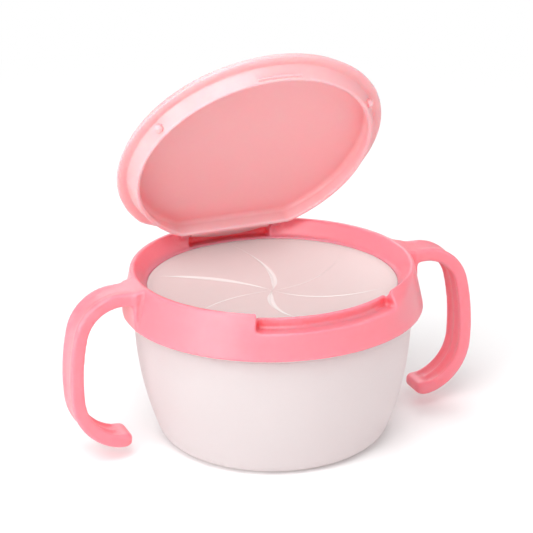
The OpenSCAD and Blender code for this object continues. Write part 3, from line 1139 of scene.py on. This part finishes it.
    def scallops(self, ring: Solid) -> None:
        """Leans the outer wall inwards beside both ends of the notch.

        Args:
            ring: The collar.
        """
        tall = self.rim_z - self.shelf_z
        skin_r = self.well_r + self.rim_round
        for corner in ring.mesh.vertices:
            x, y, z = corner.co
            r = math.hypot(x, y)
            off = abs(math.degrees(math.atan2(x, -y)) - self.notch_turn) - self.notch_angle / 2
            share = off / self.scallop_angle
            if r < skin_r or z < self.shelf_z or not -self.scallop_before < share < 1:
                continue
            foot = self.shelf_z + tall * share
            push = self.scallop_depth * smoothstep((z - foot) / tall * self.scallop_rise) \
                * smoothstep((1 - share) * self.scallop_end)
            push *= smoothstep((r - self.well_r - self.rim_round) / self.scallop_skin)
            corner.co.x -= push * x / r
            corner.co.y -= push * y / r

    def ease_roots(self, ring: Solid) -> None:
        """Smooths the mesh where the handles meet the pads.

        Args:
            ring: The collar.
        """
        group = ring.piece.vertex_groups.new(name="roots")
        middle = Vector((self.pad_x, 0, self.rim_z - self.root_drop))
        for corner in ring.mesh.vertices:
            x, y, z = corner.co
            away = (Vector((abs(x), y * self.root_flatten, z)) - middle).length
            weight = 1 - smoothstep((away - self.root_full_r) / self.root_fade_r)
            if weight > self.root_least:
                group.add([corner.index], weight, "REPLACE")
        ring.smooth(self.root_rounds, group.name)
        ring.piece.vertex_groups.clear()

    def build(self) -> list[bpy.types.Object]:
        """Builds and dresses the collar with both handles, as one moulding.

        Returns:
            The moulding.
        """
        moulding = self.blank()
        strap = self.handle.build("handle_strap")
        moulding.combine(
            Boolean.JOIN,
            self.sector("low_wall", (self.low_wall_r, self.ledge_under_z + self.low_wall_inset),
                        (self.low_wall_r + self.low_wall_t, self.ledge_z + self.low_wall_h),
                        self.notch_angle + self.low_wall_spare),
            strap, strap.copy("left_strap", MIRROR),
            *self.thread.ribs("collar_thread", self.hinge.bore_r + self.lap,
                              self.thread_crest_r, self.thread_z))
        moulding.apply("REMESH", mode="VOXEL", voxel_size=self.voxel, use_smooth_shade=True)
        moulding.smooth(self.first_rounds)
        self.scallops(moulding)
        self.ease_roots(moulding)
        # The shelter mask paints shade into the collar's recesses
        moulding.smooth(self.last_rounds).close(self.merge).shelter(self.shelter_reach)
        ring = moulding.finished(self.sharp, PINK.material())
        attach(ring, "collar")
        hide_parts("collar", "left_handle", "right_handle")
        return [ring]


@dataclass
class Lid:
    """The hinged lid: crowned panel, edge, plug with nubs and bead, and the knuckle."""

    edge_z: float = 68.7
    edge_r: float = 53.0
    skirt_h: float = 3.4
    draft: float = 1.2
    top_round: float = 1.2
    top_steps: int = 14
    round_steps: int = 6
    round_end: float = 20.0
    crown: float = 0.78
    panel_t: float = 1.8
    rear_edge_y: float = 45.0
    corner_y: float = 50.37
    corner_cut: float = 28.0
    plug_r: float = 49.0
    plug_lip_r: float = 47.3
    plug_z: float = 62.9
    plug_wall: float = 1.7
    plug_flat_y: float = 43.2
    plug_corner: float = 2.6
    plug_round: float = 2.0
    plug_root: float = 0.6
    plug_root_out: float = 0.9
    under_steps: int = 12
    root_steps: int = 3
    lip_steps: int = 8
    inner_steps: int = 7
    least: float = 0.4
    rear_begins: float = 0.05
    corner_begins: float = 0.3
    edge_slack: float = 0.01
    plug_slack: float = 0.5
    middle_r: float = 1.0
    edge_corner: float = 0.5
    nub_r: float = 1.6
    nub_sides: int = 40
    nub_rings: int = 24
    nub_angle: float = 60.0
    nub_middle_r: float = 48.5
    nub_z: float = 65.8
    bead_r: float = 0.6
    bead_sides: int = 12
    bead_sink: float = 0.2
    bead_w: float = 17.0
    bead_z: float = 64.5
    knuckle_w: float = 33.2
    boss_r: float = 2.2
    boss_sides: int = 64
    boss_round: float = 0.35
    stem_lap: float = 0.5
    stem_back: float = 1.0
    stem_inset: float = 0.05
    barrel_gap: float = 0.3
    barrel_front: float = 1.5
    barrel_steps: tuple[int, int] = (10, 40)
    ear_room: float = 0.5
    pin_r: float = 1.45
    pin_round: float = 0.3
    merge: float = 0.01
    sharp: float = 40
    shelter_reach: float = 12.0
    steps: int = 288
    hinge: Hinge = field(default_factory=Hinge)

    # How far the skirt's foot runs inwards and up, in parts of the skirt's height
    foot_form: tuple[Pair, ...] = ((0.0, 1.4), (0.15, 0.5), (0.8, 0.0))
    foot_parts: int = 6

    @property
    def top_z(self) -> float:
        """Height of the lid's top edge when it is closed."""
        return self.edge_z + self.skirt_h

    def crown_line(self, z: float, radius: float, steps: int) -> list[Point]:
        """Points across a crowned panel, from the middle out."""
        return [(radius * i / steps, z + self.crown * (1 - (i / steps) ** 2))
                for i in range(steps + 1)]

    def rings(self) -> list[tuple[float, float, float, float]]:
        """Rings from the middle of the top round to the middle of the underside.

        Returns:
            For each ring its radius, its height, and how far its straight rear and its two
            cut corners lie from the middle.
        """
        top_r, rr, foot = self.edge_r - self.draft, self.top_round, self.skirt_h / self.foot_parts
        lip, root = self.plug_wall / 2, self.plug_root
        under = self.top_z - self.panel_t
        in_r = self.plug_r - self.plug_wall - self.plug_round
        outer = [*self.crown_line(self.top_z, top_r - rr, self.top_steps),
                 *arc((top_r - rr, self.top_z - rr), rr, 90, self.round_end,
                      self.round_steps)[1:],
                 *[(self.edge_r - foot * inwards, self.edge_z + foot * up)
                   for inwards, up in self.foot_form]]
        plug = [*arc((self.plug_r + root, self.edge_z - root), root, 90, 180,
                     self.root_steps),
                *arc((self.plug_lip_r - lip, self.plug_z + lip), lip, 0, -180,
                     self.lip_steps),
                *arc((in_r, under - self.plug_round), self.plug_round, 0, 90,
                     self.inner_steps),
                *reversed(self.crown_line(under, in_r, self.under_steps))]
        rear_from = self.edge_r - self.rear_edge_y
        rear_plug = self.plug_r - self.plug_flat_y
        corner_from = self.edge_r - self.corner_y
        return [*[(r, z, max(self.least, r - rear_from), max(self.least, r - corner_from))
                  for r, z in outer],
                (self.plug_r + self.plug_root_out, self.edge_z,
                 self.plug_flat_y + self.plug_root_out, math.inf),
                *[(r, z, max(self.least, r - rear_plug), math.inf) for r, z in plug]]

    def shell(self) -> Solid:
        """The lid without its knuckle, as one closed skin.

        Returns:
            The new solid.
        """
        rings = self.rings()
        tilt = math.radians(self.corner_cut)

        def place(across: float, along: float) -> Vector:
            """Places a corner of the skin.

            Args:
                across: Share of the way round the lid.
                along: Share of the way through its rings.

            Returns:
                Its place.
            """
            r, z, rear, cut = rings[round(along * (len(rings) - 1))]
            turn = FULL_TURN * across
            back = math.sin(turn)
            slant = back * math.cos(tilt) + abs(math.cos(turn)) * math.sin(tilt)
            flat = rear / back if back > self.rear_begins else math.inf
            if slant > self.corner_begins:
                flat = min(flat, cut / slant)
            outer = z > self.edge_z - self.edge_slack and r > self.plug_r + self.plug_slack
            at_rear = r > self.rear_edge_y
            corner = self.edge_corner if outer or at_rear else self.plug_corner
            reach = r if math.isinf(flat) or r < self.middle_r else soft_min(r, flat, corner)
            return Vector((reach * math.cos(turn), reach * back, z))

        return Solid.wrapped("lid_moulding", self.steps, len(rings) - 1, place)

    def knuckle(self) -> list[Solid]:
        """The boss, the stem, the barrel and the two pins along the hinge axis.

        Returns:
            The solids, in order.
        """
        hinge = self.hinge.middle
        half_w, low_z = self.knuckle_w / 2, self.edge_z + self.stem_inset
        front, back = self.plug_flat_y - self.stem_lap, hinge.y - self.stem_back
        boss = Solid.rod("boss", self.boss_r, self.knuckle_w, hinge, self.boss_round,
                         self.boss_sides)
        stem = Solid.raised("stem", [(-half_w, front, low_z), (half_w, front, low_z),
                                     (half_w, back, low_z), (-half_w, back, low_z)],
                            (0, 0, self.skirt_h - 3 * self.stem_inset))
        reach = self.hinge.bore_r - self.barrel_gap
        curve_n, along_n = self.barrel_steps

        def place(across: float, along: float) -> Vector:
            """Places a corner of the barrel's quarter, which ends behind the axis.

            Args:
                across: Share of the way round its section.
                along: Share of the way along it.

            Returns:
                Its place.
            """
            x = half_w * (2 * along - 1)
            radius = math.sqrt(reach ** 2 - x ** 2) - hinge.y
            section = [(0.0, 0.0), *arc((0, 0), radius, 0, 90, curve_n),
                       (-self.barrel_front, radius), (-self.barrel_front, 0.0)]
            y, z = section[round(across * len(section)) % len(section)]
            return Vector((x, hinge.y + y, hinge.z + min(z, self.top_z - hinge.z)))

        return [boss, stem, Solid.wrapped("barrel", curve_n + 4, along_n, place),
                *self.hinge.bars("pin", self.pin_r, self.knuckle_w, self.hinge.pin_l,
                                 self.hinge.lap, self.pin_round)]

    def ear_gap(self, side: Side) -> Solid:
        """The block that makes room in the lid's edge for one of the collar's ears.

        Args:
            side: The side that the ear is on.

        Returns:
            The new solid.
        """
        near = side.value * self.knuckle_w / 2
        far = side.value * (self.hinge.pocket_w / 2 + self.hinge.ear_w + self.ear_room)
        front = self.hinge.middle.y - self.hinge.ear_r - self.ear_room
        corners = [(near, front), (far, front), (far, self.edge_r), (near, self.edge_r)]
        return Solid.raised("ear_gap", [(x, y, self.edge_z - self.ear_room) for x, y in corners],
                            (0, 0, self.skirt_h + 4 * self.ear_room))

    def nub(self, side: Side) -> Solid:
        """One of the two snap nubs on the plug.

        Args:
            side: The side that it is on.

        Returns:
            The new solid.
        """
        turn = math.radians(side.value * self.nub_angle)
        Solid.clear()
        bpy.ops.mesh.primitive_uv_sphere_add(
            segments=self.nub_sides, ring_count=self.nub_rings, radius=self.nub_r,
            location=(self.nub_middle_r * math.sin(turn), -self.nub_middle_r * math.cos(turn),
                      self.nub_z))
        return Solid.active("nub")

    def latch_bead(self) -> Solid:
        """The thin bead along the front of the plug, which follows its round wall.

        Returns:
            The new solid.
        """
        rise = (self.bead_z - self.plug_z) / (self.edge_z - self.plug_z)
        wall_r = self.plug_lip_r + (self.plug_r - self.plug_lip_r) * rise
        angle = math.degrees(self.bead_w / wall_r)
        section = arc((wall_r - self.bead_sink, self.bead_z), self.bead_r, 0, 360,
                      self.bead_sides)
        return Solid.turned("latch_bead", section, self.steps, -90 - angle / 2, angle)

    def build(self) -> list[bpy.types.Object]:
        """Builds and dresses the lid, and stands it open.

        Returns:
            The lid.
        """
        moulding = self.shell()
        moulding.combine(Boolean.CUT, *map(self.ear_gap, Side))
        moulding.combine(Boolean.JOIN, *self.knuckle(), *map(self.nub, Side), self.latch_bead())
        joint, middle = joint_of("lid_hinge"), self.hinge.middle
        opened = Matrix.Rotation(-math.radians(joint["range_deg"][0]), 4, joint["axis"])
        moulding.mesh.transform(Matrix.Translation(middle) @ opened
                                @ Matrix.Translation(-middle))
        # The shelter mask paints shade into the lid's recesses
        moulding.close(self.merge).shelter(self.shelter_reach)
        lid = moulding.finished(self.sharp, LID_PINK.material())
        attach(lid, "lid")
        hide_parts("lid")
        return [lid]


@dataclass(frozen=True)
class Slit:
    """One slit between two flaps."""

    direction: float
    open_w: float
    widest_at: float


@dataclass
class Membrane:
    """The dished membrane with its clamped bead, six slits and six flaps."""

    dish_r: float = 45.6
    rim_z: float = 61.3
    depth: float = 4.0
    thickness: float = 1.0
    step_r: float = 47.55
    step_lap: float = 0.6
    bead_z: float = 60.6
    bead_r: float = 50.2
    bead_t: float = 1.4
    edge_r: float = 0.25
    border_form: Triple = (0.3, 0.1, 0.4)
    slit_end_r: float = 44.6
    swing: float = 33.0
    middle_r: float = 0.35
    shut_w: float = 0.04
    bulge_l: float = 0.33
    bulge_start: float = 6.0
    bulge_end: float = 5.0
    slit_end: float = 40.0
    lip_depth: float = 0.3
    flaps: int = 6
    flap_across: int = 36
    flap_along: int = 48
    bend_l: float = 4.0
    ring_sharp: float = 40
    flap_sharp: float = 30
    slits: tuple[Slit, ...] = (
        Slit(30.0, 0.25, 0.3), Slit(90.0, 2.4, 0.28), Slit(150.0, 3.0, 0.55),
        Slit(210.0, 0.6, 0.5), Slit(270.0, 2.4, 0.28), Slit(330.0, 0.8, 0.5))

    def dish_z(self, r: float) -> float:
        """Height of the dish's top at a radius."""
        return self.rim_z - self.depth * (1 - min(1.0, r / self.dish_r) ** 2)

    def beside(self, index: int) -> tuple[Slit, Slit]:
        """The slits before and after the flap of that number, counted from 0."""
        return self.slits[index], self.slits[(index + 1) % self.flaps]

    def slit_side(self, slit: Slit, r: float, bank: Bank, top: bool) -> float:
        """Direction of one side of a slit.

        Args:
            slit: The slit.
            r: Distance from the middle.
            bank: The side.
            top: True on the upper face, where the slit is widest.

        Returns:
            The angle from the middle, in radians.
        """
        share = r / self.slit_end_r
        bulge = math.exp(-((share - slit.widest_at) / self.bulge_l) ** 2) \
            * smoothstep((1 - share) * self.bulge_end) * smoothstep(share * self.bulge_start)
        gap = self.shut_w + (slit.open_w * bulge if top else 0.0)
        return math.radians(slit.direction - self.swing * (1 - share)) + bank.value \
            * math.asin(min(1.0, gap / 2 / r)) * smoothstep((1 - share) * self.slit_end)

    def flap(self, index: int) -> Solid:
        """Builds one flap between two slits, whose outer and inner ends close half way down.

        Args:
            index: Number of the flap, from 0.

        Returns:
            The new solid.
        """
        first, second = self.beside(index)
        across_n = self.flap_across
        whole_turn = FULL_TURN if second.direction < first.direction else 0.0
        top = [(k / across_n, 0.0) for k in range(across_n + 1)]
        under = [(1 - k / across_n, self.thickness) for k in range(across_n + 1)]
        columns = [*top, (1.0, self.lip_depth), *under, (0.0, self.lip_depth)]

        def place(across: float, along: float) -> Vector:
            """Places a corner of the flap's skin.

            Args:
                across: Share of the way round its section.
                along: Share of the way outwards.

            Returns:
                Its place.
            """
            share, drop = columns[round(across * len(columns)) % len(columns)]
            row = round(along * (self.flap_along + 2)) - 1
            run = min(1.0, max(0.0, row / self.flap_along))
            r = self.middle_r + (self.dish_r - self.middle_r) * run
            left = self.slit_side(first, r, Bank.AFTER, drop == 0)
            right = self.slit_side(second, r, Bank.BEFORE, drop == 0) + whole_turn
            angle = left + (right - left) * share
            if not 0 <= row <= self.flap_along:
                drop = self.thickness / 2
            return Vector((r * math.cos(angle), r * math.sin(angle), self.dish_z(r) - drop))

        return Solid.wrapped(f"flap_{index + 1}_skin", len(columns), self.flap_along + 2, place)

    def ring(self) -> Solid:
        """Builds the ring round the flaps, with its border, step and bead.

        Returns:
            The new solid.
        """
        low, edge = self.bead_z - self.bead_t, self.edge_r
        inwards, low_rise, rise = (edge * share for share in self.border_form)
        top_z, step_z, step_in = self.rim_z + rise, self.rim_z + low_rise, self.step_r - inwards
        return Solid.turned("membrane_border", [
            (self.dish_r, self.rim_z), (self.dish_r + edge, top_z), (step_in, top_z),
            (self.step_r, step_z), (self.step_r, self.bead_z),
            (self.bead_r - edge, self.bead_z), (self.bead_r, self.bead_z - edge),
            (self.bead_r, low + edge), (self.bead_r - edge, low),
            (self.step_r - self.step_lap, low),
            (self.dish_r, self.rim_z - self.thickness), (self.dish_r, self.rim_z)],
            self.flaps * self.flap_across)

    def paint_slit_light(self, flap: bpy.types.Object, index: int) -> None:
        """Gives the bevelled sides of a flap's two slits the second material: painted light, near
        white.

        Args:
            flap: The flap, in metres.
            index: Number of the flap, from 0.
        """
        for face in flap.data.polygons:
            middle = in_mm(face.center)
            angle = math.atan2(middle.y, middle.x)
            for slit, bank in zip(self.beside(index), (Bank.AFTER, Bank.BEFORE)):
                off = bank.value * (angle - self.slit_side(slit, middle.xy.length, bank, True))
                if (off + math.pi) % FULL_TURN - math.pi < 0 and face.normal.z > 0:
                    face.material_index = 1

    def build(self) -> list[bpy.types.Object]:
        """Builds and dresses the ring and the flaps.

        Returns:
            The ring and the flaps.
        """
        # The second material paints the slit sides near white as painted light
        milky, cut = MILKY.material(), SLIT_PAINTED_LIGHT.material()
        ring = self.ring().finished(self.ring_sharp, milky)
        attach(ring, "membrane")
        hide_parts("membrane_ring")
        made = [ring]
        for index in range(self.flaps):
            flap = self.flap(index).finished(self.flap_sharp, milky, cut)
            self.paint_slit_light(flap, index)
            body = f"flap_{index + 1}"
            line = Vector(joint_of(f"{body}_bend")["pos_m"])
            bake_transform(flap)
            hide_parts(body)
            made.append(flap)
        return made


def stand(name: str, data: bpy.types.ID, eye: Vector, aim: Vector) -> bpy.types.Object:
    """Adds a lamp or camera to the scene.

    Args:
        name: Its name.
        data: What it is.
        eye: Where it stands.
        aim: What it points at.

    Returns:
        The new object.
    """
    stander = bpy.data.objects.new(name, data)
    bpy.context.scene.collection.objects.link(stander)
    turn = (aim - eye).to_track_quat("-Z", "Y").to_matrix().to_4x4()
    stander.matrix_world = Matrix.Translation(eye) @ turn
    return stander


@dataclass(frozen=True)
class Lamp:
    """One square soft lamp, in metres and watts."""

    name: str
    place: Triple
    power: float
    size: float = 0.9

    def build(self, target: Vector) -> None:
        """Adds the lamp, pointed at a place.

        Args:
            target: The place.
        """
        data = bpy.data.lights.new(self.name, "AREA")
        data.size = self.size
        data.energy = self.power
        stand(self.name, data, Vector(self.place), target)


@dataclass
class Studio:
    """The pale floor, the white room, the soft lamps and the camera. Its room is in metres."""

    eye_mm: Triple = (-263.129, -661.886, 330.709)
    aim_mm: Triple = (-2.282, 0.0, 67.305)
    roll_deg: float = -0.63
    focal_px: float = 2000.0
    sensor_mm: float = 36.0
    clip: Pair = (0.01, 20)
    floor_size: float = 6.0
    floor_z: float = -0.0002
    floor_unseen: Colour = (238, 232, 231)
    floor_seen: Colour = (244, 244, 244)
    floor_rough: Pair = (0.75, 0.1)
    floor_grain: float = 30.0
    floor_specular: float = 0.2
    fade: Pair = (0.25, 0.6)
    world_strength: float = 0.5
    middle: Triple = (0, 0, 0.06)
    lamps: tuple[Lamp, ...] = (
        Lamp("key", (-0.45, -0.65, 1.1), 12.5), Lamp("side", (-1.0, -0.45, 0.33), 8.0, 0.8),
        Lamp("fill", (0.9, -0.6, 0.55), 2.2), Lamp("back", (0.2, 1.0, 0.9), 5.0))

    def camera(self) -> None:
        """Adds the camera at the photograph's view."""
        data = bpy.data.cameras.new("camera")
        data.sensor_width = self.sensor_mm
        data.lens = self.focal_px / IMAGE_PX * self.sensor_mm
        data.clip_start, data.clip_end = self.clip
        camera = stand("camera", data, Vector(self.eye_mm) * MM, Vector(self.aim_mm) * MM)
        camera.matrix_world = camera.matrix_world \
            @ Matrix.Rotation(math.radians(self.roll_deg), 4, "Z")
        bpy.context.scene.camera = camera

    def floor(self) -> None:
        """Adds the floor, which keeps its shadows near the object and is seen white beyond."""
        Solid.clear()
        bpy.ops.mesh.primitive_plane_add(size=self.floor_size, location=(0, 0, self.floor_z))
        floor = Solid.active("floor").piece
        shader = Shader(bpy.data.materials.new("pale_floor"))
        seen = shader.hit_by(*Ray)
        rough, swing = self.floor_rough
        body = shader.node("ShaderNodeBsdfPrincipled", {}, {
            "Base Color": shader.blend(seen, linear(self.floor_unseen), linear(self.floor_seen)),
            "Roughness": rough + shader.noise(self.floor_grain) * swing,
            "Specular IOR Level": self.floor_specular})
        away = shader.node("ShaderNodeVectorMath", {"operation": "LENGTH"},
                           {0: shader.places()})
        far = shader.node("ShaderNodeMapRange", {"interpolation_type": "SMOOTHSTEP"}, {
            "Value": away.outputs["Value"], "From Min": self.fade[0], "From Max": self.fade[1]})
        shader.show(Output.MATERIAL, seen * Value(shader, far.outputs[0]), body,
                    shader.node("ShaderNodeEmission", {}, {"Color": WHITE, "Strength": 1.0}))
        floor.data.materials.append(shader.owner)

    def world(self) -> None:
        """Sets the white surroundings, full white only where they are seen."""
        bpy.context.scene.world = bpy.data.worlds.new("white_room")
        shader = Shader(bpy.context.scene.world)
        lighting, seen = (
            shader.node("ShaderNodeBackground", {}, {"Color": WHITE, "Strength": strength})
            for strength in (self.world_strength, 1.0))
        shader.show(Output.WORLD, shader.hit_by(Ray.CAMERA, Ray.TRANSMISSION), lighting, seen)

    def build(self) -> None:
        """Sets up everything round the object."""
        self.floor()
        self.world()
        for lamp in self.lamps:
            lamp.build(Vector(self.middle))
        self.camera()
        bpy.context.scene.view_settings.view_transform = "Standard"


def main() -> None:
    """Builds and reports the pieces in order, then the studio."""
    logging.basicConfig(level=logging.INFO, format="%(name)s: %(message)s")
    for assembly in (Bowl(), Collar(), Membrane(), Lid()):
        for piece in assembly.build():
            LOG.info("%s: %d faces, %s m", piece.name, len(piece.data.polygons),
                     [round(x, 4) for x in piece.dimensions])
    Studio().build()
    Solid.clear()


if __name__ == "__main__":
    main()
